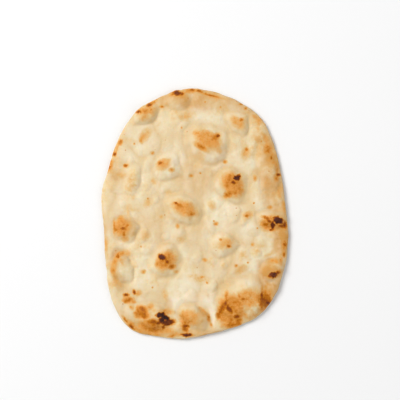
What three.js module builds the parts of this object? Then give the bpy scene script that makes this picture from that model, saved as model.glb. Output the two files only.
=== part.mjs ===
// A single garlic naan lying flat on its pale underside: one oval flatbread, stretched by hand, in one piece.
// Millimetres, +Z up, long axis along Y. The origin is under the bread's middle, on the surface it lies on.
import * as THREE from "three";
import { mergeVertices } from "three/addons/utils/BufferGeometryUtils.js";

// Driving dimensions.
const HALF_LENGTH = 110; // the radii below are shares of this
const BODY_THICKNESS = 7.4; // between blisters, well inside the edge
const EDGE_THICKNESS = 5.6; // of the rounded rim
const RIM_WIDTH = 7; // over which the rim rounds off
const FLAT_SHARE = 0.82; // share of the radius over which the underside lies flat; beyond it the rim turns up
const THINNING_SHARE = 0.7; // share of the radius beyond which the bread thins towards its rim

// Grid: a box's faces are wrapped round the bread, its top and base as discs and its four sides as the rim.
const DISC_STEPS = 44;
const RIM_STEPS = 5;
const MERGE_DISTANCE = 1e-4; // closer than this, the box's vertices are one

// The rim at 24 even steps, anticlockwise from +X: [radius as a share of HALF_LENGTH, lift off the surface].
const OUTLINE = [
  [0.73, 1.4], [0.73, 0.9], [0.77, 0.6], [0.86, 0.8], [0.93, 1.2], [0.96, 1.5], [0.99, 0.9], [0.97, 0.8],
  [0.94, 1.6], [0.86, 1.1], [0.79, 0.8], [0.77, 0.6], [0.75, 1.0], [0.76, 1.5], [0.83, 1.8], [0.96, 1.2],
  [1.07, 0.8], [1.04, 0.6], [1.00, 1.2], [0.97, 1.0], [0.97, 0.9], [0.91, 1.9], [0.83, 1.4], [0.77, 1.1],
];

// Blisters: centre [x, y], half-widths [across, along], turn in degrees, height of the dome.
const BLISTERS = [
  { at: [42, -75], half: [23, 19], turn: 30, high: 5.6 }, // the large golden one at the lower right
  { at: [-1, -92.5], half: [14.5, 11], turn: -40, high: 5.2 }, // the dome at the foot
  { at: [-38, -91], half: [17, 11], turn: -18, high: 4.8 }, // the charred one at the lower left
  { at: [-65, -49], half: [9, 15], turn: 12, high: 3.8 }, // the long one on the left edge
  { at: [-62, -14], half: [12, 11], turn: 0, high: 3.6 },
  { at: [68, -6], half: [13, 9], turn: -10, high: 4.4 }, // the charred one on the right edge
  { at: [66, -52], half: [11, 9], turn: 20, high: 3.4 },
  { at: [64, 36], half: [10, 22], turn: 10, high: 3.2 },
  { at: [-16, 98], half: [14, 10], turn: 5, high: 2.2 },
  { at: [-44, 86], half: [12, 10], turn: 35, high: 3.6 },
  { at: [10, 60], half: [20, 17], turn: -25, high: 4.8 },
  { at: [-26, 40], half: [15, 13], turn: 15, high: 3.2 },
  { at: [32, 22], half: [14, 17], turn: 30, high: 4.2 },
  { at: [-10, 2], half: [18, 14], turn: -15, high: 4.8 },
  { at: [24, -28], half: [14, 12], turn: 0, high: 3.4 },
  { at: [-26, -42], half: [16, 14], turn: 40, high: 4.2 },
  { at: [36, 78], half: [12, 10], turn: -40, high: 3.0 },
  { at: [-56, 30], half: [10, 14], turn: -8, high: 2.8 },
];

const DOME_SHARPNESS = 3; // how strictly the highest blister wins where two meet
const OUTLINE_TENSION = 0.5; // of the curve through the outline's points

// Closed curve along the rim's lower edge, through the outline's points.
function outlineCurve() {
  const points = OUTLINE.map(([share, lift], i) => {
    const angle = (2 * Math.PI * i) / OUTLINE.length;
    const reach = share * HALF_LENGTH;
    return new THREE.Vector3(Math.cos(angle) * reach, Math.sin(angle) * reach, lift);
  });
  return new THREE.CatmullRomCurve3(points, true, "catmullrom", OUTLINE_TENSION);
}

// Height added by the blisters over the point (x, y): each is a cosine dome, and the tallest one there wins.
function blisterHeight(x, y) {
  let sum = 0;
  for (const { at, half, turn, high } of BLISTERS) {
    const angle = THREE.MathUtils.degToRad(turn);
    const dx = x - at[0];
    const dy = y - at[1];
    const across = (dx * Math.cos(angle) + dy * Math.sin(angle)) / half[0];
    const along = (dy * Math.cos(angle) - dx * Math.sin(angle)) / half[1];
    const away = Math.min(1, Math.hypot(across, along));
    const dome = (high * (1 + Math.cos(Math.PI * away))) / 2;
    sum += dome ** DOME_SHARPNESS;
  }
  return sum ** (1 / DOME_SHARPNESS);
}

// Where a point of the unit square lies on the unit disc, as [radius, turns]. Rings of the square become
// circles, and half a side of the square becomes an eighth of a turn.
function squareToDisc(u, v) {
  const radius = Math.max(Math.abs(u), Math.abs(v));
  if (radius === 0) return [0, 0];
  let eighths;
  if (Math.abs(u) >= Math.abs(v)) eighths = v / u + (u < 0 ? 4 : 0);
  else eighths = 2 - u / v + (v < 0 ? 4 : 0);
  return [radius, ((eighths + 8) % 8) / 8];
}

// Splits each of the box's quads along its shorter diagonal, so that none becomes a sliver where the discs'
// corners lie. A quad a b c d is stored as the triangles a b d and b c d.
function splitAlongShorterDiagonals(geometry) {
  const index = geometry.getIndex();
  const places = geometry.getAttribute("position");
  const corner = (i) => new THREE.Vector3().fromBufferAttribute(places, i);
  for (let i = 0; i < index.count; i += 6) {
    const [a, b, c, d] = [0, 1, 4, 2].map((offset) => index.getX(i + offset));
    if (corner(a).distanceTo(corner(c)) < corner(b).distanceTo(corner(d))) {
      [a, b, c, a, c, d].forEach((vertex, offset) => index.setX(i + offset, vertex));
    }
  }
}

// The bread's solid: the wrapped box, with a flat underside, a rounded rim and a blistered top.
function naanGeometry() {
  const box = new THREE.BoxGeometry(2, 2, 2, DISC_STEPS, DISC_STEPS, RIM_STEPS);
  box.deleteAttribute("normal");
  box.deleteAttribute("uv");
  const geometry = mergeVertices(box, MERGE_DISTANCE);
  const outline = outlineCurve();
  const places = geometry.getAttribute("position");
  for (let i = 0; i < places.count; i++) {
    const side = places.getZ(i); // 1 on the top disc, -1 on the base, between them down the rim
    const [radius, turns] = squareToDisc(places.getX(i), places.getY(i));
    const edge = outline.getPoint(turns);
    const reach = Math.hypot(edge.x, edge.y);
    const rimAngle = (side * Math.PI) / 2;
    const share = radius * (1 - RIM_WIDTH / reach) + (radius * RIM_WIDTH * Math.cos(rimAngle)) / reach;
    const x = edge.x * share;
    const y = edge.y * share;
    const outward = THREE.MathUtils.smoothstep(radius, THINNING_SHARE, 1);
    const thickness = THREE.MathUtils.lerp(BODY_THICKNESS, EDGE_THICKNESS, outward);
    const lift = edge.z * THREE.MathUtils.smoothstep(radius, FLAT_SHARE, 1);
    const upper = (1 + Math.sin(rimAngle)) / 2; // 0 on the underside, 1 on the top
    places.setXYZ(i, x, y, lift + upper * (thickness + blisterHeight(x, y)));
  }
  splitAlongShorterDiagonals(geometry);
  geometry.computeBoundingBox();
  const middle = geometry.boundingBox.getCenter(new THREE.Vector3());
  geometry.translate(-middle.x, -middle.y, -geometry.boundingBox.min.z);
  geometry.computeVertexNormals();
  return geometry;
}

const crust = new THREE.MeshStandardMaterial({ color: 0xe8cf9c, roughness: 0.7, metalness: 0 });

const naan = new THREE.Mesh(naanGeometry(), crust);
naan.name = "naan";

const group = new THREE.Group();
group.add(naan);

export default group;
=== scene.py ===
"""One garlic naan lying flat: a hand-stretched flatbread with a blistered, toasted and partly charred top.

The bread is a single closed surface. Its smooth body follows the frame's naan. Blisters, dimples, creases
and crumpled skin are added to it as heights in millimetres, and the browning is worked out at the same
places.
"""
import itertools

import bpy
import numpy as np
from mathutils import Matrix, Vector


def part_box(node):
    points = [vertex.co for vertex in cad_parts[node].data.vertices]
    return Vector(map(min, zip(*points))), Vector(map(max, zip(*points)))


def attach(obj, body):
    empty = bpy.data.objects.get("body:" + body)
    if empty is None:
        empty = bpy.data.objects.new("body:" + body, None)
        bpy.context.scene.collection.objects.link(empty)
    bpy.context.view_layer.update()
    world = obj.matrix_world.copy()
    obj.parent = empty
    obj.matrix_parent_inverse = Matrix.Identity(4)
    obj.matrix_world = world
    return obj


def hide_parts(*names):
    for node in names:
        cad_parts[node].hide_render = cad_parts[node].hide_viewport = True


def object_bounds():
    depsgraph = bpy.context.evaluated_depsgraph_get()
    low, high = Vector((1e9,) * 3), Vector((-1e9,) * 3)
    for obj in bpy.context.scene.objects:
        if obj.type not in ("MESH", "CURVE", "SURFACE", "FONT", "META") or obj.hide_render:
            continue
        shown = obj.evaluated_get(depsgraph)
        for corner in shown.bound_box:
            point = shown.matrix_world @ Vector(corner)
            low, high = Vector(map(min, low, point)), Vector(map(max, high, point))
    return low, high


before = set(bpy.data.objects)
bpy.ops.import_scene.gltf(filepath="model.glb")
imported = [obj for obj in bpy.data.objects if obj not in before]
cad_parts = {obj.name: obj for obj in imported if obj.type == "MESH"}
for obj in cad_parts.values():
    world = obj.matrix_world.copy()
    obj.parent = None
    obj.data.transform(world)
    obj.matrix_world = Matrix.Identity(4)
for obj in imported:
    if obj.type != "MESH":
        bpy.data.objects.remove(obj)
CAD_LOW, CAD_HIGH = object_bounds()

bl_info = {
    "name": "Garlic naan",
    "version": (1, 0, 0),
    "blender": (4, 5, 0),
    "location": "View3D > Sidebar > Naan",
    "description": "Makes a blistered, toasted naan and the plain stage it lies on",
    "category": "Object",
}

NODE = "naan"
MM = 0.001

# The smooth body, in millimetres.
HALF_LENGTH = 110.0  # the outline's radii are shares of this
BODY_THICKNESS = 7.4  # between blisters, well inside the edge
EDGE_THICKNESS = 5.6  # of the rounded rim
RIM_WIDTH = 7.0  # over which the rim rounds off
FLAT_SHARE = 0.82  # share of the radius over which the underside lies flat
THINNING_SHARE = 0.7  # share of the radius beyond which the bread thins towards its rim
BROWNED_SHARE = 0.86  # share of the radius beyond which the skin is a little browner

# The rim at 24 even steps, anticlockwise from +X: radius as a share of HALF_LENGTH, and lift off the
# surface.
OUTLINE = (
    (0.73, 1.4), (0.73, 0.9), (0.77, 0.6), (0.86, 0.8), (0.93, 1.2), (0.96, 1.5), (0.99, 0.9), (0.97, 0.8),
    (0.94, 1.6), (0.86, 1.1), (0.79, 0.8), (0.77, 0.6), (0.75, 1.0), (0.76, 1.5), (0.83, 1.8), (0.96, 1.2),
    (1.07, 0.8), (1.04, 0.6), (1.00, 1.2), (0.97, 1.0), (0.97, 0.9), (0.91, 1.9), (0.83, 1.4), (0.77, 1.1),
)

# Large blisters: x, y, half-width across, half-width along, turn in degrees, height, how toasted the crown
# is.
BLISTERS = (
    (42, -75, 23, 19, 30, 5.6, 0.30),
    (-1, -92.5, 14.5, 11, -40, 5.2, 0.10),
    (-38, -91, 17, 11, -18, 4.8, 0.30),
    (-65, -49, 9, 15, 12, 3.8, 0.12),
    (-62, -14, 12, 11, 0, 3.6, 0.22),
    (68, -6, 13, 9, -10, 4.4, 0.22),
    (66, -52, 11, 9, 20, 3.4, 0.06),
    (64, 36, 10, 22, 10, 3.2, 0.10),
    (-16, 98, 14, 10, 5, 2.2, 0.06),
    (-44, 86, 12, 10, 35, 3.6, 0.28),
    (10, 60, 20, 17, -25, 4.8, 0.22),
    (-26, 40, 15, 13, 15, 3.2, 0.12),
    (32, 22, 14, 17, 30, 4.2, 0.28),
    (-10, 2, 18, 14, -15, 4.8, 0.20),
    (24, -28, 14, 12, 0, 3.4, 0.12),
    (-26, -42, 16, 14, 40, 4.2, 0.26),
    (36, 78, 12, 10, -40, 3.0, 0.18),
    (-56, 30, 10, 14, -8, 2.8, 0.14),
)

# Smaller blisters strewn between them: how many, and the least and greatest radius in millimetres, height as
# a share of the radius, stretch and toast of the crown, which is none below 0.
SMALL_BLISTERS = 48
SMALL_RADII = (3.6, 8.5)
SMALL_HEIGHTS = (0.08, 0.17)
SMALL_STRETCHES = (0.8, 1.25)
SMALL_TOASTS = (-0.2, 0.3)
SMALL_SEED = 41

# How full the domes are: the greater, the flatter their crowns and the steeper their sides.
LARGE_PLUMPNESS = 2.6
SMALL_PLUMPNESS = 2.2

# The scale of the browning, from hardly baked skin to burnt skin.
PALE = 0.04
CREAM = 0.17
TAN = 0.30
GOLD = 0.43
ORANGE_BROWN = 0.57
BROWN = 0.68
DARK_BROWN = 0.82
CHAR = 0.96

# Toasted marks, three of them painted shade: x, y, half-width across, half-width along, turn in degrees,
# depth of browning on that scale.
TOAST_AND_SHADE_MARKS = (
    # the charred blister at the lower left, and its golden tail
    (-31.4, -89.6, 3.8, 2.4, 0, 0.89), (-26.4, -92.4, 4.8, 2.0, -24, 0.94), (-29.6, -94, 2.6, 3.0, 0, 0.86),
    (-24.6, -96.6, 7.8, 3.4, 8, 0.77), (-28.6, -100.4, 2.2, 2.6, 0, 0.70), (-26, -87.4, 7.0, 3.0, 0, 0.40),
    (-37, -96, 7.6, 3.1, -4, 0.66), (-32.6, -96.8, 3.2, 2.6, 0, 0.71), (-38, -101, 14.5, 6.4, -8, 0.51),
    (-26, -103.5, 6.0, 3.0, -15, 0.40),
    # the ochre leaf beside it
    (-46.4, -87.6, 7.4, 5.4, -50, 0.59), (-49.8, -89.4, 4.6, 4.2, 0, 0.52),
    (-43.8, -90.2, 4.2, 2.8, -20, 0.55), (-40, -83, 3.6, 3.2, 0, 0.38), (-36, -86, 2.2, 1.6, 0, 0.30),
    # the browned rim at the lower left
    (-57, -98.6, 7.0, 2.4, -42, 0.42), (-50, -103.6, 7.0, 2.4, -32, 0.45),
    (-42, -106.6, 7.0, 2.0, -12, 0.42), (-61.8, -94.6, 4.4, 1.1, -54, 0.66),
    (-56.8, -100.6, 4.4, 1.1, -42, 0.72), (-33, -107.8, 8.0, 1.8, -4, 0.38),
    (-18, -106.5, 5.0, 2.4, -10, 0.43), (-21, -109, 3.4, 1.0, 5, 0.58),
    # the dome at the foot
    (-6, -92.5, 9.4, 8.6, 0, 0.37), (-8.4, -93.5, 6.4, 6.6, 0, 0.45), (-10.6, -92.5, 1.6, 5.4, 8, 0.51),
    (-5.4, -95.5, 4.8, 1.7, 28, 0.51), (-9.5, -96.5, 3.6, 1.8, 0, 0.52), (-8.6, -100, 3.6, 2.3, 0, 0.69),
    # the narrow arcs at (7, -86.5), (11.6, -93) and (13.4, -98.4) are painted shade along the dome's right
    # edge
    (-9.0, -102.6, 2.6, 3.0, 8, 0.68), (2, -93, 7.0, 8.0, 0, 0.28), (7, -86.5, 6.0, 1.6, -42, 0.41),
    (11.6, -93, 1.6, 5.0, 8, 0.47), (13.4, -98.4, 1.3, 2.6, 16, 0.42), (-8.4, -107.8, 4.0, 1.8, -6, 0.86),
    (-9, -107.3, 6.4, 1.1, -6, 0.82),
    # the large golden blister at the lower right, browner round its edge
    (31, -86, 12.5, 15, 0, 0.455), (47, -74.6, 13, 7.8, 0, 0.40), (24.4, -82.6, 4.2, 10.5, -22, 0.58),
    (22.5, -85, 2.6, 8.5, -22, 0.61), (20.4, -90.6, 3.0, 3.4, 0, 0.60), (26.2, -79, 2.5, 5.4, -10, 0.65),
    (29.2, -84, 3.4, 5.4, 28, 0.66), (31.4, -87, 2.4, 2.6, 0, 0.62), (36, -91.2, 3.6, 3.4, 0, 0.64),
    (35.5, -86, 4.2, 2.4, 10, 0.54), (31, -98.8, 7.6, 2.8, 4, 0.60), (37.4, -96, 3.6, 4.8, -30, 0.61),
    (35, -79, 5.4, 4.2, 20, 0.50), (26.6, -73.6, 1.9, 4.6, -4, 0.54), (43, -75.5, 4.0, 1.8, -8, 0.56),
    (38.4, -73, 1.4, 2.0, 0, 0.56), (55, -75.5, 2.4, 4.6, 0, 0.52), (43, -90.5, 2.6, 5.0, 30, 0.42),
    (50, -91.5, 7.0, 1.6, 32, 0.30),
    # the red-brown blister on its right
    (61, -76.6, 6.8, 7.8, 0, 0.60), (58.2, -74.6, 1.9, 7.4, 0, 0.71), (62.8, -76.6, 3.4, 3.0, 0, 0.63),
    (63.8, -79.8, 2.4, 1.8, 30, 0.82), (57.4, -80.5, 2.2, 3.8, 0, 0.62), (58.5, -85, 4.8, 3.2, 0, 0.43),
    (60.6, -70.2, 3.8, 2.8, 0, 0.58), (65, -71, 2.4, 3.0, 0, 0.47),
    # the right side, upwards
    (68, -54.6, 3.9, 3.2, 0, 0.83), (71.8, -53, 3.8, 2.4, 25, 0.72), (65.4, -55.8, 2.8, 2.0, 0, 0.74),
    (66, -50, 6.0, 4.0, 0, 0.43), (66.5, -43, 3.5, 2.2, 0, 0.40), (70.4, -43, 2.8, 2.4, 0, 0.42),
    (74.5, -42, 1.5, 4.0, 0, 0.47), (65, -36.5, 5.0, 1.3, 30, 0.28), (77.8, -28, 2.4, 6.0, 0, 0.61),
    (77.4, -37, 2.0, 2.4, 0, 0.62), (72.6, -7.2, 4.6, 3.1, -15, 0.87), (70, -4.8, 3.2, 1.6, 15, 0.80),
    (67.6, -11.8, 1.9, 4.5, -10, 0.82), (66.2, -15.4, 2.8, 1.5, 0, 0.74), (78.2, -11.6, 3.2, 4.2, 0, 0.67),
    (75.5, -12, 3.6, 1.4, -20, 0.66), (62.5, -5.2, 5.4, 1.9, -18, 0.59), (64.4, -7.8, 3.0, 1.7, -20, 0.65),
    (61.6, -11, 4.4, 2.8, 0, 0.53), (67, -10, 11, 7.5, 0, 0.45), (67, 49, 2.3, 3.6, 10, 0.61),
    (63.8, 55, 4.4, 5.2, 0, 0.49), (72.4, 32.6, 2.6, 1.8, 0, 0.75), (71, 29.6, 2.8, 3.4, 0, 0.50),
    (71.2, 39, 2.0, 7.0, 10, 0.46), (68.4, 44, 1.7, 2.6, 0, 0.52), (64.4, 46, 2.6, 2.6, 0, 0.40),
    (73.5, 18, 2.4, 6.0, 6, 0.38), (62, 64, 2.6, 6.0, 22, 0.42), (65, 4, 1.8, 1.4, 0, 0.44),
    (77.6, 4, 1.5, 6.0, 8, 0.44),
    # the top end
    (-16.2, 104.4, 4.8, 2.6, 0, 0.78), (-12.2, 103.8, 3.2, 2.0, 0, 0.70), (-14, 102, 6.0, 2.6, -8, 0.46),
    (-20.6, 103.2, 3.2, 1.6, 20, 0.60), (-5, 106.4, 6.0, 2.0, 0, 0.52), (-2.6, 107, 2.8, 1.4, 0, 0.66),
    (3.5, 105.8, 3.6, 1.5, -12, 0.60), (13.5, 102.4, 9.4, 1.4, -15, 0.60), (-40.3, 94, 3.1, 1.8, 15, 0.74),
    (-50, 88.2, 3.4, 2.0, -10, 0.76), (-43, 89, 9.0, 3.6, 5, 0.43), (-39, 89.2, 1.3, 1.0, 0, 0.58),
    (-38.4, 96.4, 3.4, 1.6, 20, 0.54), (-30, 92.4, 1.7, 1.2, 0, 0.56), (40, 94.5, 1.7, 0.9, 0, 0.60),
    (44, 91, 1.4, 1.2, 0, 0.56), (54, 82, 6.0, 2.4, -50, 0.38),
    # the left side
    (-66.5, 61, 3.0, 2.0, 60, 0.57), (-71.8, 51, 2.0, 2.2, 0, 0.70), (-75, 41, 1.5, 5.5, -20, 0.50),
    (-70, 56, 2.2, 8.0, -24, 0.36), (-61.3, 40.5, 2.3, 1.8, 15, 0.68), (-66, 32.4, 6.0, 2.6, -10, 0.31),
    (-63.4, -14.6, 3.2, 2.2, 0, 0.63), (-71.2, -13.5, 1.5, 6.0, 0, 0.55), (-69.2, -14.4, 2.4, 3.8, 0, 0.54),
    (-62.6, -18.4, 1.9, 3.6, 0, 0.57), (-60.4, -12, 1.7, 3.8, -35, 0.57), (-64.4, -8.0, 3.4, 3.0, 0, 0.51),
    (-64.5, -13, 7.6, 8.8, 0, 0.43), (-65.5, -5.6, 3.2, 2.4, 0, 0.43), (-62, -23, 4.0, 3.4, 0, 0.35),
    (-79, -29, 1.8, 4.8, 5, 0.40), (-68, -38.2, 2.4, 3.0, 0, 0.58), (-65.8, -36.4, 3.2, 2.0, 0, 0.47),
    (-70.4, -43, 2.4, 4.6, -12, 0.42), (-72.4, -50.4, 2.3, 5.0, 0, 0.46),
    (-70.6, -57.6, 2.4, 6.4, 18, 0.37), (-66.6, -63.6, 1.8, 4.0, 30, 0.30), (-65, -42, 1.3, 5.0, 25, 0.34),
    (-61.5, -36, 4.0, 3.0, 0, 0.33), (-59.2, -76.6, 5.0, 3.4, 6, 0.55), (-55, -78.6, 2.8, 1.7, -10, 0.49),
    (-60.8, -72.4, 2.8, 1.6, 0, 0.78), (-53.8, -70.4, 1.7, 2.4, 20, 0.76), (-51, -71, 3.4, 2.8, 0, 0.43),
    (-56, -83, 4.0, 2.2, -40, 0.36), (-27, -73, 2.4, 4.2, 10, 0.33),
    # the middle
    (11, 63, 12, 7.5, -25, 0.42), (17, 65, 5.4, 3.2, 30, 0.56), (19.5, 66.5, 1.9, 1.3, 10, 0.76),
    (5, 57, 6.5, 2.6, -30, 0.52), (1, 69, 3.4, 2.2, 0, 0.48), (20, 56, 3.0, 5.0, 20, 0.36),
    (-28, 42, 6.5, 4.4, 25, 0.42), (-31, 43, 2.8, 2.0, 20, 0.60), (-21, 37, 2.6, 1.8, 0, 0.46),
    (33, 24, 8.5, 12, 30, 0.46), (36.5, 30, 4.0, 2.6, 35, 0.88), (33.5, 26, 3.4, 2.6, 0, 0.70),
    (29, 16, 5.0, 3.2, 40, 0.56), (38, 20, 2.4, 4.0, 20, 0.52), (-9, 3, 13, 6.5, -22, 0.42),
    (-14, 6, 5.8, 2.4, -30, 0.57), (-17, 8, 1.8, 1.4, 0, 0.74), (-3, -1.5, 3.4, 2.2, 0, 0.52),
    (26, -27, 7.0, 4.6, 20, 0.36), (29, -29.5, 2.2, 1.5, 0, 0.62), (22, -24, 1.4, 1.2, 0, 0.50),
    (-26, -42, 10, 7.5, 40, 0.46), (-29.5, -39, 4.0, 2.6, -25, 0.84), (-25, -42.5, 4.8, 2.6, -40, 0.62),
    (-21, -47.5, 3.8, 2.6, 0, 0.54), (-33, -45, 2.6, 3.4, 0, 0.50), (-17, -52, 2.0, 1.5, 0, 0.46),
    (37, 78, 7.5, 4.4, -40, 0.40), (40, 80.5, 2.0, 1.6, 0, 0.58), (-45, 67, 6.5, 3.6, 50, 0.35),
    (-48, 63, 1.6, 2.2, 10, 0.52), (-42, 8, 5.0, 3.4, 70, 0.33), (47, -2, 5.4, 3.8, 20, 0.37),
    (45.5, -3.5, 1.9, 1.4, 0, 0.56), (3, -58, 8.0, 3.6, -15, 0.33), (6, -57, 2.0, 1.2, 20, 0.52),
    (-8, 84, 7.0, 3.6, 12, 0.33), (44, 52, 4.0, 6.0, -10, 0.35), (45, 55, 1.7, 1.9, 0, 0.56),
    (40, -50, 6.0, 3.6, 30, 0.34), (36, -47, 1.4, 1.2, 0, 0.56), (-44, -20, 3.4, 4.6, 15, 0.31),
    (-12, -24, 4.0, 3.0, 0, 0.30), (14, 6, 2.8, 4.2, 30, 0.30), (-24, 17, 3.4, 2.4, 0, 0.31),
    (-37, 27, 2.4, 3.4, 20, 0.31), (-4, 32, 1.8, 1.4, 0, 0.50), (18, -10, 2.0, 1.5, 30, 0.46),
    (-16, -12, 1.4, 1.6, 0, 0.48), (52, 30, 1.8, 2.4, 0, 0.44), (-38, 52, 1.6, 1.3, 0, 0.48),
    (8, -42, 2.4, 1.6, -20, 0.44), (-46, -52, 2.2, 1.6, 0, 0.44), (50, -28, 1.7, 2.2, 0, 0.46),
    (-30, -4, 1.5, 1.3, 0, 0.46), (26, 44, 1.7, 1.4, 0, 0.50),
)

# Wide areas whose skin has turned tan, partly painted shade: the top and right strips are painted darker as
# shade where the light falls off, and (7, -88.5) is painted shade along the foot dome's right edge. x, y,
# half-width across, half-width along, turn in degrees, share of tan.
TAN_AND_SHADE_AREAS = (
    (4, 101, 58, 13, -3, 0.54), (45, 90, 12, 6.0, -38, 0.40), (69, 28, 14, 46, 6, 0.56),
    (76, -26, 9.0, 19, 0, 0.66), (66, -58, 13, 17, -16, 0.84), (68, -66, 8.0, 6.0, -20, 0.40),
    (60, -46, 8.0, 10, 0, 0.16), (-56, -99, 26, 6.0, -40, 0.34), (-81, -24, 4.0, 26, 3, 0.40),
    (-66, 32, 9.0, 6.0, 0, 0.34), (3, -95, 9.0, 8.0, 0, 0.34), (7, -88.5, 8.0, 2.2, -44, 0.56),
    (-68, -58, 5.0, 12, 20, 0.28), (-24, -81, 3.6, 7.0, 0, 0.24), (2, -106, 42, 3.6, 0, 0.40),
    (-64, -13, 12, 12, 0, 0.40), (-65, -38, 10, 7.0, 0, 0.36), (-71, -49, 3.4, 15, 6, 0.36),
    (10, 40, 34, 24, 20, 0.20), (-30, -20, 22, 20, 0, 0.16), (30, -50, 18, 10, -20, 0.18),
    (-46, 64, 12, 16, 0, 0.14), (-76, 40, 8.0, 34, 14, 0.16),
)

# Wide areas that flour has kept pale, partly painted light: (2, -76) and (14.5, -88) lift the shaded slope
# beside the foot dome. x, y, half-width across, half-width along, turn in degrees, share of flour.
FLOUR_AND_LIGHT_AREAS = (
    (2, -76, 24, 8.0, 0, 0.75), (14.5, -88, 4.2, 12, 0, 0.80), (-48, -78, 8.0, 6.0, 0, 0.55),
    (-18, -81, 6.0, 5.0, 0, 0.45), (-17, -90, 3.0, 6.0, 0, 0.40), (-64, -86, 6.0, 7.0, 0, 0.50),
    (-66, 14, 8.0, 12, 0, 0.35), (-63, 52, 6.0, 12, 12, 0.35), (-10, 52, 16, 10, 0, 0.35),
    (34, 0, 14, 8.0, 10, 0.35), (-34, 14, 10, 12, 0, 0.30), (8, -20, 10, 14, 0, 0.30),
    (-8, 92, 12, 4.0, 0, 0.30),
)

# Over how many millimetres a mark fades out across its border.
GOLDEN_FADE = 7.5
CHARRED_FADE = 2.2

# Freckles, a millimetre or so across: x, y.
FRECKLES = (
    (8.3, 96.5), (22, 92), (-54, 60), (58, 62), (51, 8), (-42, 12), (10, -62), (46, -44), (-48, -30),
    (4, 34), (-12, 74), (54, -14), (-38, -66), (16, -8),
)
FRECKLE_BROWNING = 0.52
FRECKLE_RADIUS = 1.7  # where it has faded out
FRECKLE_FADE = 1.5  # over which it fades

# Noises over the bread: size in millimetres, octaves, seed and, where it isn't a half, gain.
BEND_X = (17.0, 2, 11)
BEND_Y = (17.0, 2, 21)
EDGE_WOBBLE = (26.0, 4, 31)
RIM_ROUNDING = (40.0, 2, 37)
SWELL = (62.0, 3, 51)
CREASES = (46.0, 3, 57)
SKIN = (8.0, 3, 71)
CRUMPLE = (5.5, 2, 83)
CHAR_BUBBLES = (3.2, 2, 89)
UNDER_HOLLOWS = (24.0, 3, 91)
RAGGED = (6.5, 4, 101, 0.6)
FRAYED = (2.4, 2, 102, 0.7)
MOTTLE = (14.0, 4, 103, 0.6)
BROAD = (45.0, 3, 107)
GOLDEN_CLOUDS = (15.0, 4, 127, 0.55)
UNDER_TOUCHED = (19.0, 4, 113, 0.6)
UNDER_SCORCHED = (9.0, 3, 117, 0.6)
TAN_CLOUDS = (13.0, 4, 131, 0.6)
FLOUR_CLOUDS = (13.0, 4, 137, 0.6)

# Domes strewn over the bread: size of their grid in millimetres, share of its cubes that hold one, seed.
DIMPLES = (19.0, 0.5, 61)
PIMPLES = (7.5, 0.6, 63)
GRAINS = (4.4, 0.7, 67)
UNDER_PITS = (11.0, 0.5, 93)
SPOTS = (5.0, 0.4, 109)

# How far the blisters' outlines are bent, in millimetres.
BEND_REACH = 3.2

# How high or deep the layers of the relief are, in millimetres.
SWELL_HEIGHT = 0.85
CREASE_DEPTH = 0.55
DIMPLE_DEPTH = 0.6
PIMPLE_HEIGHT = 0.5
GRAIN_HEIGHT = 0.24
SKIN_HEIGHT = 0.3
CRUMPLE_DEPTH = 0.55
BUBBLE_HEIGHT = 0.35
UNDER_HOLLOW_DEPTH = 0.5
UNDER_PIT_DEPTH = 0.45

# The stage: the lights' places and sides, and how far the camera looks past the bread's middle, in metres.
KEY_PLACE = (-1.35, 0.9, 1.95)
KEY_SIDE = 1.3
FILL_PLACE = (1.4, -0.8, 1.6)
FILL_SIDE = 1.8
VIEW_OFFSET = (4.4 * MM, 12.0 * MM)


def smoothstep(values, low, high):
    """0 below low, 1 above high, and 3 t^2 - 2 t^3 between them."""
    part = np.clip((values - low) / (high - low), 0.0, 1.0)
    return part * part * (3.0 - 2.0 * part)


def mix(start, end, share):
    """The value that lies `share` of the way from start to end."""
    return start + (end - start) * share


# --- Noise ----------------------------------------------------------------------------------------

LATTICE = 48  # cells after which the noises repeat


def gradient_noise(points, size, seed):
    """Smooth bumps about `size` across, from -1 to 1.

    Each corner of a cubic lattice has a random unit slope. A point takes, from the eight corners of its
    cell, the slope times its way from that corner, weighted by 6 t^5 - 15 t^4 + 10 t^3 along each axis.
    """
    slopes = np.random.default_rng(seed).normal(size=(LATTICE, LATTICE, LATTICE, 3))
    slopes /= np.linalg.norm(slopes, axis=-1, keepdims=True)
    cells = points / size
    corner = np.floor(cells).astype(int)
    part = cells - corner
    fade = part**3 * (part * (part * 6.0 - 15.0) + 10.0)
    total = np.zeros(len(points))
    for step in itertools.product((0, 1), repeat=3):
        weight = np.prod(np.where(np.array(step) == 1, fade, 1.0 - fade), axis=1)
        i, j, k = ((corner + step) % LATTICE).T
        total += weight * np.sum(slopes[i, j, k] * (part - step), axis=1)
    return np.clip(total * 1.6, -1.0, 1.0)


def fractal_noise(points, size, octaves, seed, gain=0.5):
    """A weighted mean of gradient noises, each half as large as the one before and `gain` times as strong."""
    weights = gain ** np.arange(octaves)
    layers = [gradient_noise(points, size / 2**i, seed + i) * weight for i, weight in enumerate(weights)]
    return np.sum(layers, axis=0) / weights.sum() * 1.5


def ridge_noise(points, size, octaves, seed):
    """Thin winding crests: one less the size of a fractal noise, squared, so that its zero lines are at 1."""
    away = np.abs(fractal_noise(points, size, octaves, seed)) * 2.2
    return (1.0 - np.minimum(away, 1.0)) ** 2


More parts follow.
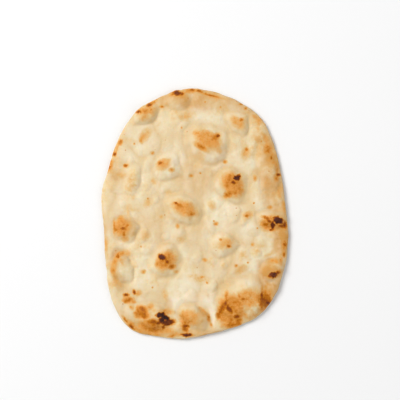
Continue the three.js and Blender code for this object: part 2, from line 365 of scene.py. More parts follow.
def scattered_domes(points, size, share, seed):
    """Round domes strewn at random, from 0 to 1.

    Each cube of a grid `size` across holds one centre at a random place in it, and `share` of the centres
    carry a dome. A dome of radius r is (1 - (d / r)^2)^2 at the distance d, and the highest of the 27 nearest
    cubes' domes counts.
    """
    random = np.random.default_rng(seed)
    centres = random.random((LATTICE, LATTICE, LATTICE, 3))
    radii = random.uniform(0.22, 0.5, (LATTICE, LATTICE, LATTICE))
    heights = random.uniform(0.35, 1.0, (LATTICE, LATTICE, LATTICE))
    heights *= random.random((LATTICE, LATTICE, LATTICE)) < share
    cells = points / size
    cube = np.floor(cells).astype(int)
    highest = np.zeros(len(points))
    for step in itertools.product((-1, 0, 1), repeat=3):
        neighbour = cube + step
        i, j, k = (neighbour % LATTICE).T
        away = np.linalg.norm(neighbour + centres[i, j, k] - cells, axis=1) / radii[i, j, k]
        dome = heights[i, j, k] * np.clip(1.0 - away**2, 0.0, None) ** 2
        highest = np.maximum(highest, dome)
    return highest


# --- The bread's shape ----------------------------------------------------------------------------


def outline_at(turns):
    """Points of the closed curve round the rim, as x, y and lift, after that share of a turn.

    It is the Catmull-Rom curve through the outline's points: a cubic from each point to the next, whose slope
    at a point is half the way from the point before it to the point after it.
    """
    steps = np.arange(len(OUTLINE))
    shares, lifts = np.array(OUTLINE).T
    angles = 2.0 * np.pi * steps / len(OUTLINE)
    reach = shares * HALF_LENGTH
    knots = np.column_stack([np.cos(angles) * reach, np.sin(angles) * reach, lifts])
    place = (turns % 1.0) * len(OUTLINE)
    first = np.floor(place).astype(int)
    t = (place - first)[:, None]
    before, start, end, after = (knots[(first + i) % len(OUTLINE)] for i in (-1, 0, 1, 2))
    cubic = (3.0 * (start - end) + after - before) * t**3
    square = (2.0 * before - 5.0 * start + 4.0 * end - after) * t**2
    return 0.5 * (2.0 * start + (end - before) * t + square + cubic)


def ellipse_distance(x, y, mark):
    """Distance from a mark's centre as a share of its half-widths: 0 in the middle and 1 on its ellipse."""
    centre_x, centre_y, half_across, half_along, turn = mark[:5]
    angle = np.radians(turn)
    dx, dy = x - centre_x, y - centre_y
    across = (dx * np.cos(angle) + dy * np.sin(angle)) / half_across
    along = (dy * np.cos(angle) - dx * np.sin(angle)) / half_along
    return np.hypot(across, along)


def small_blisters():
    """Rows like those of the large blisters, at random places inside the outline.

    None lies on top of another or on the middle of a large one: a circle of 0.62 of a large one's mean
    half-width, or of a small one's own radius, may overlap the next by a fifth.
    """
    random = np.random.default_rng(SMALL_SEED)
    chosen = [(b[0], b[1], 0.62 * (b[2] + b[3]) / 2.0) for b in BLISTERS]
    made = []
    while len(made) < SMALL_BLISTERS:
        turn, share = random.random(), np.sqrt(random.random()) * 0.95
        x, y, _ = outline_at(np.array([turn]))[0] * share
        radius = random.uniform(*SMALL_RADII)
        height = radius * random.uniform(*SMALL_HEIGHTS)
        toast = max(0.0, random.uniform(*SMALL_TOASTS))
        stretch = random.uniform(*SMALL_STRETCHES)
        angle = random.uniform(0.0, 180.0)
        if all(np.hypot(x - cx, y - cy) > 0.8 * (radius + r) for cx, cy, r in chosen):
            chosen.append((x, y, radius))
            made.append((x, y, radius * stretch, radius / stretch, angle, height, toast))
    return made


def blister_fields(points, blisters, plumpness):
    """Height, crown, foot and toast of a set of blisters at each point.

    A blister is (1 - r^p)^1.5 high at the share r of its ellipse, with p its plumpness, in a shallow moat.
    Its outline is bent by noise. Where two meet, the cube root of the sum of their cubes counts. The foot is
    1 along the outline.
    """
    x = points[:, 0] + BEND_REACH * fractal_noise(points, *BEND_X)
    y = points[:, 1] + BEND_REACH * fractal_noise(points, *BEND_Y)
    cubes, moat, crown, foot, toast = (np.zeros(len(points)) for _ in range(5))
    for blister in blisters:
        height, crown_toast = blister[5:]
        r = ellipse_distance(x, y, blister)
        dome = np.clip(1.0 - r**plumpness, 0.0, 1.0) ** 1.5
        cubes += (height * dome) ** 3
        moat = np.maximum(moat, 0.13 * height * np.exp(-(((r - 1.08) / 0.16) ** 2)))
        foot = np.maximum(foot, min(height / 5.0, 1.0) * np.exp(-(((r - 0.97) / 0.14) ** 2)))
        crown = np.maximum(crown, dome)
        toast = np.maximum(toast, crown_toast * dome)
    return np.cbrt(cubes) - moat, crown, foot, toast


def smooth_body(share, turns, side, settings):
    """The bread before any blister rises: points, how far up its thickness each lies, and how near the rim.

    `share` goes from 0 in the middle to 1 where the rim starts, and `side` from 1 on the top to -1 on the
    underside. The rim's section is half an ellipse about RIM_WIDTH deep, and its lower edge is lifted as the
    outline says.
    """
    edge = outline_at(turns)
    wobble = fractal_noise(edge, *EDGE_WOBBLE) * settings.edge_wobble / MM
    reach = np.hypot(edge[:, 0], edge[:, 1])
    angle = side * np.pi / 2.0
    rim = RIM_WIDTH * (1.0 + 0.35 * fractal_noise(edge, *RIM_ROUNDING))
    across = share * (1.0 + (wobble * share**2 - rim * (1.0 - np.cos(angle))) / reach)
    thickness = mix(BODY_THICKNESS, EDGE_THICKNESS, smoothstep(share, THINNING_SHARE, 1.0))
    lift = edge[:, 2] * smoothstep(share, FLAT_SHARE, 1.0)
    upper = (1.0 + np.sin(angle)) / 2.0
    points = np.column_stack([edge[:, 0] * across, edge[:, 1] * across, lift + upper * thickness])
    return points, upper, smoothstep(share, BROWNED_SHARE, 1.0)


def bread_fields(share, turns, side, settings):
    """The finished surface in millimetres, and the fields that the crust's material reads.

    The relief is the large and small blisters, joined by the cube root of the sum of their cubes, and a
    weighted sum of noises and domes. It lifts the top by its share of the thickness. The flank moves outwards
    by pimples, skin and creases, and the underside is pitted upwards. Each field has one value a vertex.
    """
    points, upper, rim = smooth_body(share, turns, side, settings)
    high, crown, foot, toast = blister_fields(points, BLISTERS, LARGE_PLUMPNESS)
    small_fields = blister_fields(points, small_blisters(), SMALL_PLUMPNESS)
    small_high, small_crown, small_foot, small_toast = small_fields
    relief = np.cbrt(np.clip(high, 0, None) ** 3 + np.clip(small_high, 0, None) ** 3)
    relief += np.minimum(high, 0.0) + np.minimum(small_high, 0.0)
    crown = np.maximum(crown, 0.6 * small_crown)

    swell = fractal_noise(points, *SWELL)
    creases = ridge_noise(points * (1.0, 0.6, 1.0), *CREASES) * (1.0 - crown)
    dimples = scattered_domes(points, *DIMPLES) * (1.0 - crown)
    pimples = scattered_domes(points, *PIMPLES)
    grains = scattered_domes(points, *GRAINS)
    skin = fractal_noise(points, *SKIN)
    relief += SWELL_HEIGHT * swell - CREASE_DEPTH * creases - DIMPLE_DEPTH * dimples
    relief += PIMPLE_HEIGHT * pimples + GRAIN_HEIGHT * grains + SKIN_HEIGHT * skin

    browning = toast_fields(points, np.maximum(toast, small_toast), rim, upper)
    crumple = ridge_noise(points, *CRUMPLE) * smoothstep(browning, 0.3, 0.7)
    bubbles = fractal_noise(points, *CHAR_BUBBLES) * smoothstep(browning, 0.45, 0.85)
    relief += BUBBLE_HEIGHT * bubbles - CRUMPLE_DEPTH * crumple

    top = points.copy()
    top[:, 2] += upper * relief * settings.relief
    outward = points[:, :2] / np.maximum(np.linalg.norm(points[:, :2], axis=1, keepdims=True), 1.0)
    flank = np.cos(side * np.pi / 2.0) * (0.5 * pimples + 0.25 * skin - 0.45 * creases)
    top[:, :2] += outward * flank[:, None]
    under = smoothstep(-side, 0.3, 1.0)
    hollows = 0.5 + 0.5 * fractal_noise(points, *UNDER_HOLLOWS)
    pits = scattered_domes(points, *UNDER_PITS)
    top[:, 2] += under * (UNDER_HOLLOW_DEPTH * hollows + UNDER_PIT_DEPTH * pits)

    on_top = smoothstep(upper, 0.1, 0.5)
    # painted shade in the creases, dimples and round the blisters' feet, which the crust darkens
    hollow_shade = np.clip(creases + 0.5 * dimples + 0.8 * np.maximum(foot, small_foot), 0.0, 1.0)
    return top, {
        "browning": browning,
        "painted_crease_shade": hollow_shade * on_top,
        "tanned_and_shaded": area_field(points, TAN_AND_SHADE_AREAS, TAN_CLOUDS) * on_top,
        "floury_and_lit": area_field(points, FLOUR_AND_LIGHT_AREAS, FLOUR_CLOUDS) * on_top,
    }


def toast_fields(points, blister_toast, rim, upper):
    """How deeply each point is browned, from 0, raw pale, to 1, char.

    A mark is as deep as it says inside its ellipse and fades out across it, the dark ones sharply and the
    golden ones softly, along a border ragged with noise and with a faint haze round it. The skin between is
    pale, a little browner near the rim and on the blisters. The fourth root of the sum of their fourth powers
    counts. The underside is pale, with wide clouds of light browning and darker patches in them.
    """
    ragged = fractal_noise(points, *RAGGED)
    frayed = fractal_noise(points, *FRAYED)
    mottle = fractal_noise(points, *MOTTLE)
    broad = fractal_noise(points, *BROAD)
    on_top = smoothstep(upper, 0.25, 0.6)
    skin = 0.08 + 0.06 * broad + 0.05 * mottle + 0.06 * ragged + rim * (0.07 + 0.06 * broad + 0.06 * mottle)
    skin += blister_toast * (0.35 + 0.6 * mottle)
    skin += 0.13 * smoothstep(fractal_noise(points, *GOLDEN_CLOUDS), 0.05, 0.6)
    x, y = points[:, 0] + 0.6 * mottle, points[:, 1] + 0.6 * ragged
    haze, core = np.zeros(len(points)), np.zeros(len(points))
    for mark in TOAST_AND_SHADE_MARKS:
        narrow, depth = min(mark[2:4]), mark[5]
        r = ellipse_distance(x, y, mark)
        fading = mix(GOLDEN_FADE, CHARRED_FADE, smoothstep(depth, 0.42, 0.9))
        soft = np.clip(fading / narrow, 0.4, 1.8)
        edge = r + (0.9 * ragged + 0.7 * frayed) / max(narrow, 2.0)
        faint = smoothstep(r + 0.3 * mottle, 1.45 + 1.2 / narrow, 0.8)
        haze = np.maximum(haze, 0.66 * min(depth, 0.5) * faint)
        core = np.maximum(core, depth * smoothstep(edge, 1.0 + soft / 2.0, 1.0 - soft / 2.0))
    core *= 1.0 + 0.12 * ragged * smoothstep(0.9 - core, 0.0, 0.2)
    for x0, y0 in FRECKLES:
        away = np.hypot(x - x0, y - y0)
        core = np.maximum(core, FRECKLE_BROWNING * smoothstep(FRECKLE_RADIUS - away, 0.0, FRECKLE_FADE))
    browning = np.sum([np.clip(part, 0.0, 1.0) ** 4 for part in (skin, haze, core)], axis=0) ** 0.25
    half_toasted = smoothstep(browning, 0.16, 0.4) * smoothstep(0.7 - browning, 0.0, 0.2)
    browning = np.clip(browning + 0.12 * scattered_domes(points, *SPOTS) * half_toasted, 0.0, 1.0)
    touched = smoothstep(fractal_noise(points, *UNDER_TOUCHED) + 0.35 * broad, 0.02, 0.62)
    scorched = smoothstep(fractal_noise(points, *UNDER_SCORCHED), 0.34, 0.8) * touched
    baked_under = 0.12 + 0.06 * broad + 0.05 * mottle + 0.22 * touched + 0.28 * scorched
    return mix(baked_under, browning, on_top)


def area_field(points, areas, clouds):
    """From 0 to 1, a set of wide areas added up, each fading out round its ellipse, broken up by clouds."""
    total = np.zeros(len(points))
    for area in areas:
        r = ellipse_distance(points[:, 0], points[:, 1], area)
        total += area[5] * smoothstep(r, 1.35, 0.45)
    return np.clip(total * (0.92 + 0.9 * fractal_noise(points, *clouds)), 0.0, 1.0)


# --- The bread's mesh -----------------------------------------------------------------------------


def disc_grid(steps):
    """Share of the radius and turns of the points of a square grid whose rings are drawn out to circles.

    A point (u, v) of the square from -1 to 1 lies on the ring max(|u|, |v|), and its place along that ring's
    four sides is its share of the turn.
    """
    line = np.linspace(-1.0, 1.0, steps + 1)
    u, v = (grid.ravel() for grid in np.meshgrid(line, line, indexing="ij"))
    by_side = v / np.where(u == 0.0, 1.0, u) + np.where(u < 0.0, 4.0, 0.0)
    by_end = 2.0 - u / np.where(v == 0.0, 1.0, v) + np.where(v < 0.0, 4.0, 0.0)
    eighths = np.where(np.abs(u) >= np.abs(v), by_side, by_end)
    return np.maximum(np.abs(u), np.abs(v)), (eighths / 8.0) % 1.0


def disc_faces(steps):
    """Quads of the grid, anticlockwise, each from a corner whose diagonal runs along the radius."""
    i, j = (grid.ravel() for grid in np.meshgrid(np.arange(steps), np.arange(steps), indexing="ij"))
    row = steps + 1
    quads = np.column_stack([i * row + j, (i + 1) * row + j, (i + 1) * row + j + 1, i * row + j + 1])
    same_sign = (i * 2 < steps) == (j * 2 < steps)
    return np.where(same_sign[:, None], quads, np.roll(quads, -1, axis=1))


def disc_border(steps):
    """Numbers of the grid's outermost points, anticlockwise from its first one."""
    row, run = steps + 1, np.arange(steps)
    return np.concatenate([run * row, steps * row + run, (steps - run) * row + steps, steps - run])


def bread_grid(steps, rim_rows):
    """Parameters of all the vertices and the faces of the closed surface.

    The top is a disc grid and the underside one of half as many steps. Rows of quads go round the rim between
    them, and the lowest row joins each underside edge to two edges above it with three triangles.
    """
    top_share, top_turns = disc_grid(steps)
    base_share, base_turns = disc_grid(steps // 2)
    border = disc_border(steps)
    ring = len(border)
    rows = np.arange(1, rim_rows)
    rim_side = np.repeat(1.0 - 2.0 * rows / rim_rows, ring)
    share = np.concatenate([top_share, np.ones(len(rim_side)), base_share])
    turns = np.concatenate([top_turns, np.tile(top_turns[border], len(rows)), base_turns])
    side = np.concatenate([np.ones(len(top_share)), rim_side, -np.ones(len(base_share))])

    first_rim = len(top_share)
    first_base = first_rim + len(rim_side)
    rings = np.vstack([border, first_rim + np.arange(len(rim_side)).reshape(len(rows), ring)])
    upper, lower = rings[:-1], rings[1:]
    next_upper, next_lower = np.roll(upper, -1, axis=1), np.roll(lower, -1, axis=1)
    band = np.stack([lower, next_lower, next_upper, upper], axis=-1).reshape(-1, 4)
    last, base = rings[-1], first_base + disc_border(steps // 2)
    start, middle, end = last[0::2], last[1::2], np.roll(last[0::2], -1)
    following = np.roll(base, -1)
    fans = [(base, following, middle), (base, middle, start), (following, end, middle)]
    triangles = np.concatenate([np.column_stack(fan) for fan in fans])
    underside = first_base + disc_faces(steps // 2)[:, ::-1]
    quads = np.concatenate([disc_faces(steps), band, underside])
    return (share, turns, side), quads.tolist() + triangles.tolist()


def fitted(points, low, high):
    """The points moved and scaled along each axis so that their box is the one from low to high."""
    own_low, own_high = points.min(axis=0), points.max(axis=0)
    low, high = np.array(low), np.array(high)
    return low + (points - own_low) * (high - low) / (own_high - own_low)


def make_bread(settings):
    """The bread's mesh object, in the frame's naan's box, with its fields as vertex attributes."""
    grid, faces = bread_grid(settings.grid_steps, settings.rim_rows)
    points, fields = bread_fields(*grid, settings)
    mesh = bpy.data.meshes.new("naan_bread")
    mesh.from_pydata(fitted(points * MM, *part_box(NODE)), [], faces)
    mesh.polygons.foreach_set("use_smooth", np.ones(len(mesh.polygons), bool))
    for name, values in fields.items():
        attribute = mesh.attributes.new(name, "FLOAT", "POINT")
        attribute.data.foreach_set("value", values.astype(np.float32))
    mesh.update()
    mesh.validate()
    bread = bpy.data.objects.new("naan_bread", mesh)
    bpy.context.scene.collection.objects.link(bread)
    return bread


# --- Materials ------------------------------------------------------------------------------------


FIELDS = ("Browning", "Painted_crease_shade", "Tanned_and_shaded", "Floury_and_lit")  # of the bread's mesh, as the crust's sockets name them


def linear(red, green, blue):
    """A display colour from 0 to 255 as the linear colour that a shader takes."""
    display = np.array([red, green, blue]) / 255.0
    return (*np.where(display <= 0.04045, display / 12.92, ((display + 0.055) / 1.055) ** 2.4), 1.0)


def add_node(tree, kind, inputs=None, **options):
    """A new node with its options set and its inputs given as values or linked from other sockets."""
    node = tree.nodes.new(kind)
    for name, value in options.items():
        setattr(node, name, value)
    for name, value in (inputs or {}).items():
        if isinstance(value, bpy.types.NodeSocket):
            tree.links.new(value, node.inputs[name])
        else:
            node.inputs[name].default_value = value
    return node


def math(tree, operation, *values):
    """The output of a Math node."""
    return add_node(tree, "ShaderNodeMath", dict(enumerate(values)), operation=operation).outputs[0]


def remap(tree, value, low, high, start=0.0, end=1.0):
    """The output of a smooth Map Range node."""
    inputs = {"Value": value, "From Min": low, "From Max": high, "To Min": start, "To Max": end}
    return add_node(tree, "ShaderNodeMapRange", inputs, interpolation_type="SMOOTHSTEP").outputs[0]


def blend_colour(tree, share, start, end):
    """The colour output of a Mix node that goes from start to end."""
    node = add_node(tree, "ShaderNodeMix", data_type="RGBA")
    for index, value in ((0, share), (6, start), (7, end)):
        if isinstance(value, bpy.types.NodeSocket):
            tree.links.new(value, node.inputs[index])
        else:
            node.inputs[index].default_value = value
    return node.outputs[2]


def noise(tree, vector, size, detail=3.0, roughness=0.55):
    """The value of a Noise Texture whose bumps are `size` metres across."""
    inputs = {"Vector": vector, "Scale": 1.0 / size, "Detail": detail, "Roughness": roughness}
    return add_node(tree, "ShaderNodeTexNoise", inputs).outputs[0]


def speck_group():
    """Shader group of small ragged specks: one speck may lie in each cell of a given size."""
    tree = bpy.data.node_groups.new("bread_specks", "ShaderNodeTree")
    socket = tree.interface.new_socket
    socket("Vector", in_out="INPUT", socket_type="NodeSocketVector")
    for name, default in (("Size", 0.01), ("Radius", 0.08), ("Share", 0.5)):
        socket(name, in_out="INPUT", socket_type="NodeSocketFloat").default_value = default
    socket("Mask", in_out="OUTPUT", socket_type="NodeSocketFloat")
    given = add_node(tree, "NodeGroupInput").outputs
    scale = math(tree, "DIVIDE", 1.0, given["Size"])
    cells = add_node(tree, "ShaderNodeTexVoronoi", {"Vector": given["Vector"], "Scale": scale})
    random = add_node(tree, "ShaderNodeSeparateColor", {0: cells.outputs["Color"]}).outputs[0]
    chosen = math(tree, "LESS_THAN", random, given["Share"])
    finer = math(tree, "MULTIPLY", scale, 7.0)
    ragged = add_node(tree, "ShaderNodeTexNoise", {"Vector": given["Vector"], "Scale": finer})
    reach = math(tree, "MULTIPLY", given["Radius"], math(tree, "ADD", ragged.outputs[0], 0.5))
    inside = math(tree, "SUBTRACT", 1.0, math(tree, "DIVIDE", cells.outputs["Distance"], reach))
    soft = remap(tree, inside, 0.0, 0.4)
    add_node(tree, "NodeGroupOutput", {"Mask": math(tree, "MULTIPLY", soft, chosen)})
    return tree


def speckle(tree, specks, place, size, radius, share):
    """The mask of the specks' group with those values."""
    group = add_node(tree, "ShaderNodeGroup", node_tree=specks)
    tree.links.new(place, group.inputs["Vector"])
    for name, value in (("Size", size), ("Radius", radius), ("Share", share)):
        group.inputs[name].default_value = value
    return group.outputs[0]


def crust_group(settings):
    """Shader group of the bread's skin: colour, roughness and height from its browning and its place."""
    tree = bpy.data.node_groups.new("bread_crust", "ShaderNodeTree")
    socket = tree.interface.new_socket
    socket("Vector", in_out="INPUT", socket_type="NodeSocketVector")
    for name in FIELDS:
        socket(name, in_out="INPUT", socket_type="NodeSocketFloat")
    socket("Color", in_out="OUTPUT", socket_type="NodeSocketColor")
    socket("Roughness", in_out="OUTPUT", socket_type="NodeSocketFloat")
    socket("Height", in_out="OUTPUT", socket_type="NodeSocketFloat")
    given = add_node(tree, "NodeGroupInput").outputs
    place = given["Vector"]

    # browning, broken up where there is any
    active = remap(tree, given["Browning"], 0.08, 0.42, 0.35, 1.0)
    mottled = math(tree, "SUBTRACT", noise(tree, place, 6.5 * MM, 4.0, 0.6), 0.5)
    fine = math(tree, "SUBTRACT", noise(tree, place, 1.8 * MM, 4.0, 0.65), 0.5)
    broken = math(tree, "ADD", math(tree, "MULTIPLY", mottled, 0.30), math(tree, "MULTIPLY", fine, 0.25))
    brown = math(tree, "MULTIPLY_ADD", broken, active, given["Browning"])
    ramp = add_node(tree, "ShaderNodeValToRGB", {0: brown})
    stops = (
        (PALE, settings.pale),
        (CREAM, settings.cream),
        (TAN, settings.tan),
        (GOLD, settings.gold),
        (ORANGE_BROWN, settings.orange_brown),
        (BROWN, settings.brown),
        (DARK_BROWN, settings.dark_brown),
        (CHAR, settings.char),
    )
    elements = ramp.color_ramp.elements
    elements[0].position, elements[0].color = stops[0]
    elements[-1].position, elements[-1].color = stops[-1]
    for position, colour in stops[1:-1]:
        elements.new(position).color = colour

    # the pale skin: creamy, floury and, where it is thin, a little darker and yellower, with painted light
    # and shade
    raw = math(tree, "SUBTRACT", 1.0, remap(tree, brown, 0.12, 0.36))
    dusted = remap(tree, noise(tree, place, 17.0 * MM, 5.0, 0.62), 0.5, 0.72)
    dusted = math(tree, "MULTIPLY", dusted, 0.55)
    # painted light: two of the floury areas lift the shaded slope beside the foot dome
    caked_and_lit = math(tree, "MULTIPLY", given["Floury_and_lit"], 0.85)
    floury_and_lit = math(tree, "MULTIPLY", math(tree, "MAXIMUM", dusted, caked_and_lit), raw)
    skin = blend_colour(tree, floury_and_lit, ramp.outputs[0], settings.flour_and_light)
    thin_and_shade = math(tree, "MULTIPLY", remap(tree, noise(tree, place, 24.0 * MM), 0.48, 0.75), raw)
    skin = blend_colour(tree, math(tree, "MULTIPLY", thin_and_shade, 0.4), skin, settings.thin_and_shade)
    # painted shade: creases, dimples and the blisters' feet darkened towards the thin skin's colour
    fold_shade = math(tree, "MULTIPLY", math(tree, "MULTIPLY", given["Painted_crease_shade"], raw), 0.6)
    skin = blend_colour(tree, fold_shade, skin, settings.thin_and_shade)
    # wide tan areas, partly painted shade on the top and right strips and along the foot dome's right edge
    untoasted = math(tree, "SUBTRACT", 1.0, remap(tree, brown, 0.34, 0.56))
    skin = blend_colour(tree, math(tree, "MULTIPLY", given["Tanned_and_shaded"], untoasted), skin, settings.tanned_and_shaded)

    # specks: browned pinpricks, and a few bits of herb
    specks = speck_group()
    pricks = math(tree, "MULTIPLY", speckle(tree, specks, place, 9.0 * MM, 0.085, 0.35), 0.6)
    skin = blend_colour(tree, pricks, skin, settings.orange_brown)
    herbs = math(tree, "MULTIPLY", speckle(tree, specks, place, 26.0 * MM, 0.034, 0.6), 0.75)
    skin = blend_colour(tree, herbs, skin, settings.herb)

    # roughness: satin on browned crowns, dull where floury or charred
    waxy = remap(tree, brown, 0.25, 0.6, settings.roughness, settings.roughness - 0.14)
    dull = math(tree, "MAXIMUM", floury_and_lit, remap(tree, brown, 0.78, 0.95))
    rough = math(tree, "MULTIPLY_ADD", dull, 0.2, waxy)
    rough = math(tree, "MULTIPLY_ADD", fine, 0.12, rough)

    # height, as a share of the bump's depth: pores, fine wrinkles and blistered char
    pores = remap(tree, noise(tree, place, 1.2 * MM, 2.0), 0.32, 0.5)
    wrinkles = noise(tree, place, 4.2 * MM, 5.0, 0.68)
    crackle = math(tree, "MULTIPLY", noise(tree, place, 1.6 * MM, 3.0, 0.7), remap(tree, brown, 0.5, 0.85))
    height = math(tree, "MULTIPLY_ADD", pores, 0.16, math(tree, "MULTIPLY", wrinkles, 0.9))
    height = math(tree, "MULTIPLY_ADD", crackle, 0.8, height)
    add_node(tree, "NodeGroupOutput", {"Color": skin, "Roughness": rough, "Height": height})
    return tree


def crust_material(settings):
    """The bread's one finish: a soft matte skin, pale to charred."""
    material = bpy.data.materials.new("naan_crust")
    material.use_nodes = True
    tree = material.node_tree
    shader = tree.nodes["Principled BSDF"]
    place = add_node(tree, "ShaderNodeTexCoord").outputs["Object"]
    group = add_node(tree, "ShaderNodeGroup", node_tree=crust_group(settings))
    tree.links.new(place, group.inputs["Vector"])
    for name in FIELDS:
        field = add_node(tree, "ShaderNodeAttribute", attribute_name=name.lower())
        tree.links.new(field.outputs["Fac"], group.inputs[name])
    height = group.outputs["Height"]
    bump = add_node(tree, "ShaderNodeBump", {"Height": height, "Distance": settings.skin_depth})
    tree.links.new(group.outputs["Color"], shader.inputs["Base Color"])
    tree.links.new(group.outputs["Roughness"], shader.inputs["Roughness"])
    tree.links.new(bump.outputs[0], shader.inputs["Normal"])
    shader.inputs["IOR"].default_value = 1.33
    shader.inputs["Specular IOR Level"].default_value = 0.35
    shader.inputs["Subsurface Weight"].default_value = 0.3
    shader.inputs["Subsurface Radius"].default_value = (1.0, 0.55, 0.3)
    shader.inputs["Subsurface Scale"].default_value = 1.8 * MM
    return material


def stage_material(settings):
    """The floor: a matte pale board, very slightly uneven in tone."""
    material = bpy.data.materials.new("stage_floor")
    material.use_nodes = True
    tree = material.node_tree
    shader = tree.nodes["Principled BSDF"]
    place = add_node(tree, "ShaderNodeTexCoord").outputs["Object"]
    tone = noise(tree, place, 0.35, 2.0)
    darker = [channel * 0.985 for channel in settings.floor_colour[:3]] + [1.0]
    colour = blend_colour(tree, tone, settings.floor_colour, darker)
    tree.links.new(colour, shader.inputs["Base Color"])
    shader.inputs["Roughness"].default_value = 0.85
    shader.inputs["IOR"].default_value = 1.3
    return material


# --- Settings, operators and panel ----------------------------------------------------------------


def colour_setting(name, description, *display):
    """A colour property with its default given as display values from 0 to 255."""
    default = linear(*display)
    return bpy.props.FloatVectorProperty(
        name=name, description=description, default=default, size=4, subtype="COLOR", min=0.0, max=1.0
    )


class NaanSettings(bpy.types.PropertyGroup):
    """What a user would change on the bread."""

    grid_steps: bpy.props.IntProperty(
        name="Grid steps", description="Quads across the top", default=248, min=32, max=248, step=4
    )
    rim_rows: bpy.props.IntProperty(
        name="Rim rows", description="Rows of quads round the rim", default=14, min=4, max=16
    )
    relief: bpy.props.FloatProperty(
        name="Relief",
        description="Strength of the blisters and hollows",
        default=1.0,
        min=0.0,
        max=1.5,
        subtype="FACTOR",
    )
    edge_wobble: bpy.props.FloatProperty(
        name="Edge wobble",
        description="How far the hand-stretched edge strays",
        default=0.9 * MM,
        min=0.0,
        unit="LENGTH",
    )
    skin_depth: bpy.props.FloatProperty(
        name="Skin depth",
        description="Depth of pores and wrinkles",
        default=0.6 * MM,
        min=0.0,
        precision=5,
        unit="LENGTH",
    )
    roughness: bpy.props.FloatProperty(
        name="Roughness", description="Of the pale skin", default=0.66, min=0.2, max=1.0, subtype="FACTOR"
    )
    pale: colour_setting("Pale", "Skin that is hardly baked", 232, 220, 190)
    cream: colour_setting("Cream", "Skin just turning", 227, 206, 164)
    # this colour is also painted light over the shaded slope beside the foot dome
    flour_and_light: colour_setting("Flour", "Skin with flour left on it", 241, 230, 207)
    # this colour is also the painted shade in creases, dimples and round the blisters' feet
    thin_and_shade: colour_setting("Thin", "Skin where the dough is thin", 212, 178, 124)
    # this colour is partly painted shade, on the top and right strips and along the foot dome's right edge
    tanned_and_shaded: colour_setting("Tanned_and_shaded", "Skin of the wide baked areas", 205, 151, 78)
    tan: colour_setting("Tan", "Skin in the haze round a toasted mark", 221, 182, 122)
    gold: colour_setting("Gold", "Lightly toasted skin", 220, 154, 74)
    orange_brown: colour_setting("Orange brown", "Toasted skin", 192, 114, 2)
    brown: colour_setting("Brown", "Well toasted skin", 150, 74, 2)
    dark_brown: colour_setting("Dark brown", "Skin about to char", 94, 42, 20)
    char: colour_setting("Char", "Burnt skin", 42, 27, 25)
    herb: colour_setting("Herb", "Dried herb", 118, 108, 52)


class StageSettings(bpy.types.PropertyGroup):
    """What a user would change on the stage."""

    floor_colour: colour_setting("Floor", "Colour of the floor", 240, 240, 240)
    floor_size: bpy.props.FloatProperty(
        name="Floor size", description="Side of the floor", default=8.0, min=1.0, unit="LENGTH"
    )
    field: bpy.props.FloatProperty(
        name="Field", description="Width the camera sees", default=0.349, min=0.1, unit="LENGTH"
    )
    lens: bpy.props.FloatProperty(
        name="Lens", description="Focal length in millimetres", default=85.0, min=10.0
    )
    key_power: bpy.props.FloatProperty(
        name="Key light", description="Power of the large light", default=52.0, min=0.0, unit="POWER"
    )
    fill_power: bpy.props.FloatProperty(
        name="Fill light", description="Power of the soft light", default=9.0, min=0.0, unit="POWER"
    )
    sky: bpy.props.FloatProperty(
        name="Sky", description="Brightness of the surroundings", default=0.44, min=0.0
    )


class NAAN_OT_bread(bpy.types.Operator):
    """Make the naan, riding on the frame's body and standing for its plain node"""

    bl_idname = "naan.bread"
    bl_label = "Make naan"

    def execute(self, context):
        settings = context.scene.naan_settings
        bread = make_bread(settings)
        bread.data.materials.append(crust_material(settings))
        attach(bread, "root")
        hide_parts(NODE)
        return {"FINISHED"}


def add_light(name, place, target, side, power):
    """A square area light at a place, turned towards a target."""
    data = bpy.data.lights.new(name, "AREA")
    data.shape, data.size, data.energy = "SQUARE", side, power
    light = bpy.data.objects.new(name, data)
    light.location = place
    light.rotation_euler = (target - light.location).to_track_quat("-Z", "Y").to_euler()
    bpy.context.scene.collection.objects.link(light)


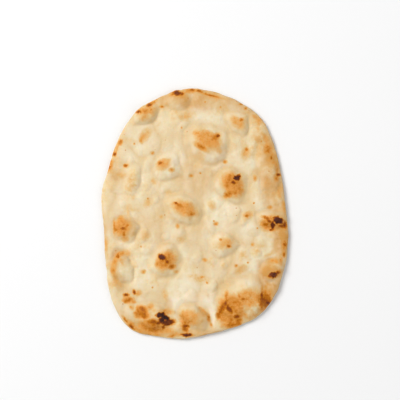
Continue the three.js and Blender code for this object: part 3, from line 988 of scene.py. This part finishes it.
class NAAN_OT_stage(bpy.types.Operator):
    """Make the pale floor, the soft lights and the camera that looks straight down"""

    bl_idname = "naan.stage"
    bl_label = "Make stage"

    def execute(self, context):
        scene, settings = context.scene, context.scene.stage_settings
        middle = (CAD_LOW + CAD_HIGH) / 2.0
        half = settings.floor_size / 2.0
        mesh = bpy.data.meshes.new("stage_floor")
        corners = [(x * half, y * half, CAD_LOW.z) for x, y in ((-1, -1), (1, -1), (1, 1), (-1, 1))]
        mesh.from_pydata(corners, [], [(0, 1, 2, 3)])
        floor = bpy.data.objects.new("stage_floor", mesh)
        scene.collection.objects.link(floor)
        mesh.materials.append(stage_material(settings))

        world = bpy.data.worlds.new("stage_world")
        world.use_nodes = True
        sky = world.node_tree.nodes["Background"]
        sky.inputs["Color"].default_value = (1.0, 1.0, 1.0, 1.0)
        sky.inputs["Strength"].default_value = settings.sky
        scene.world = world
        scene.view_settings.view_transform = "Standard"

        add_light("key_light", KEY_PLACE, middle, KEY_SIDE, settings.key_power)
        add_light("fill_light", FILL_PLACE, middle, FILL_SIDE, settings.fill_power)

        lens = bpy.data.cameras.new("camera")
        lens.lens = settings.lens
        lens.clip_start = 0.01
        camera = bpy.data.objects.new("camera", lens)
        distance = settings.field * settings.lens / lens.sensor_width
        camera.location = (middle.x + VIEW_OFFSET[0], middle.y + VIEW_OFFSET[1], middle.z + distance)
        scene.collection.objects.link(camera)
        scene.camera = camera
        return {"FINISHED"}


class NAAN_PT_panel(bpy.types.Panel):
    """The sidebar's list of what can be made"""

    bl_label = "Naan"
    bl_space_type = "VIEW_3D"
    bl_region_type = "UI"
    bl_category = "Naan"

    def draw(self, context):
        for operator, settings in (("naan.bread", "naan_settings"), ("naan.stage", "stage_settings")):
            box = self.layout.box()
            group = getattr(context.scene, settings)
            for name in group.__annotations__:
                box.prop(group, name)
            box.operator(operator)


CLASSES = (NaanSettings, StageSettings, NAAN_OT_bread, NAAN_OT_stage, NAAN_PT_panel)


def register():
    """Adds the classes, and their settings to the scene."""
    for each in CLASSES:
        bpy.utils.register_class(each)
    bpy.types.Scene.naan_settings = bpy.props.PointerProperty(type=NaanSettings)
    bpy.types.Scene.stage_settings = bpy.props.PointerProperty(type=StageSettings)


def unregister():
    """Takes away what register added."""
    del bpy.types.Scene.naan_settings
    del bpy.types.Scene.stage_settings
    for each in reversed(CLASSES):
        bpy.utils.unregister_class(each)


def main():
    register()
    bpy.ops.naan.bread()
    bpy.ops.naan.stage()


if __name__ == "__main__":
    main()
